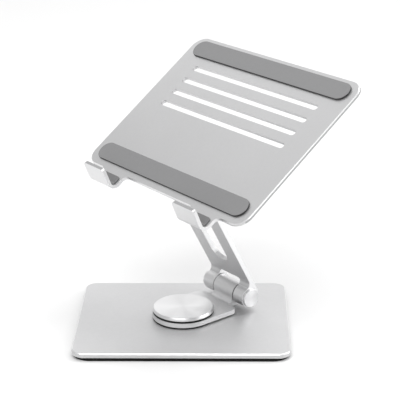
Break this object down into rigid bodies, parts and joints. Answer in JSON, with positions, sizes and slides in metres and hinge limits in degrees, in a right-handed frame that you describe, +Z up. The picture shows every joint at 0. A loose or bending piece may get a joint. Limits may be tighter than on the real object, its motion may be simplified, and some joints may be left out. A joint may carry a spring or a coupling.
{
  "type": "laptop stand",
  "caption": "Adjustable laptop stand: weighted base plate, swivelling tongue, slotted arm on two friction hinges, and a tilting vented tray with padded front hooks.",
  "frame": {"origin": "middle of the base's underside, on the surface the stand rests on, below the vertical pivot", "axes": "+Z up, +X to the right and -Y towards the front edge of the base; the arm and tray stand turned 51.1 degrees clockwise from the base's front, seen from above"},
  "size_m": [0.2597, 0.2643, 0.2416],
  "materials": {
    "anodised_aluminium": "silver anodised, fine bead-blasted satin",
    "satin_aluminium": "silver anodised, slightly darker satin",
    "base_silver": "silver satin, fine bead-blasted",
    "turned_aluminium": "spun face with a bright cut edge",
    "sole_rubber": "matte black",
    "grey_silicone": "matte mid grey",
    "dark_silicone": "matte dark grey",
    "black_acetal": "self-lubricating, matte black",
    "hardware_steel": "zinc-plated, turned",
    "spring_steel": "hardened, dark satin",
    "bronze": "sintered bronze, satin"
  },
  "bodies": {
    "base": {"base_plate": "base_silver", "base_rubber_sole": "sole_rubber", "pivot_pin": "hardware_steel", "lower_glide_ring": "black_acetal", "upper_glide_ring": "black_acetal", "thrust_washer": "hardware_steel", "pivot_disc_spring": "spring_steel", "pivot_retaining_clip": "spring_steel", "pivot_cap": "turned_aluminium"},
    "swivel": {"swivel_tongue": "satin_aluminium", "pivot_bush": "bronze", "lower_hinge_bushes": "bronze"},
    "arm": {"arm_link": "satin_aluminium", "lower_hinge_pin": "hardware_steel", "lower_hinge_washers": "black_acetal", "lower_hinge_disc_springs": "spring_steel", "lower_hinge_nut": "hardware_steel", "lower_hinge_end_caps": "turned_aluminium", "upper_hinge_pin": "hardware_steel", "upper_hinge_washers": "black_acetal", "upper_hinge_disc_springs": "spring_steel", "upper_hinge_nut": "hardware_steel", "upper_hinge_end_caps": "turned_aluminium"},
    "tray": {"tray_plate": "anodised_aluminium", "tray_bracket": "anodised_aluminium", "upper_hinge_bushes": "bronze", "bracket_screws": "hardware_steel", "front_tray_pad": "grey_silicone", "rear_tray_pad": "grey_silicone", "left_hook_pad": "dark_silicone", "right_hook_pad": "dark_silicone"}
  },
  "joints": [
    {"name": "swivel", "type": "hinge", "parent": "base", "child": "swivel", "pos_m": [0, 0, 0.0077], "axis": [0, 0, 1], "continuous": true},
    {"name": "arm_tilt", "type": "hinge", "parent": "swivel", "child": "arm", "pos_m": [0.04529, 0.03655, 0.0214], "axis": [0.628, -0.7782, 0], "range_deg": [-30, 45]},
    {"name": "tray_tilt", "type": "hinge", "parent": "arm", "child": "tray", "pos_m": [0.00669, 0.0054, 0.14805], "axis": [0.628, -0.7782, 0], "range_deg": [-95, 20]}
  ]
}
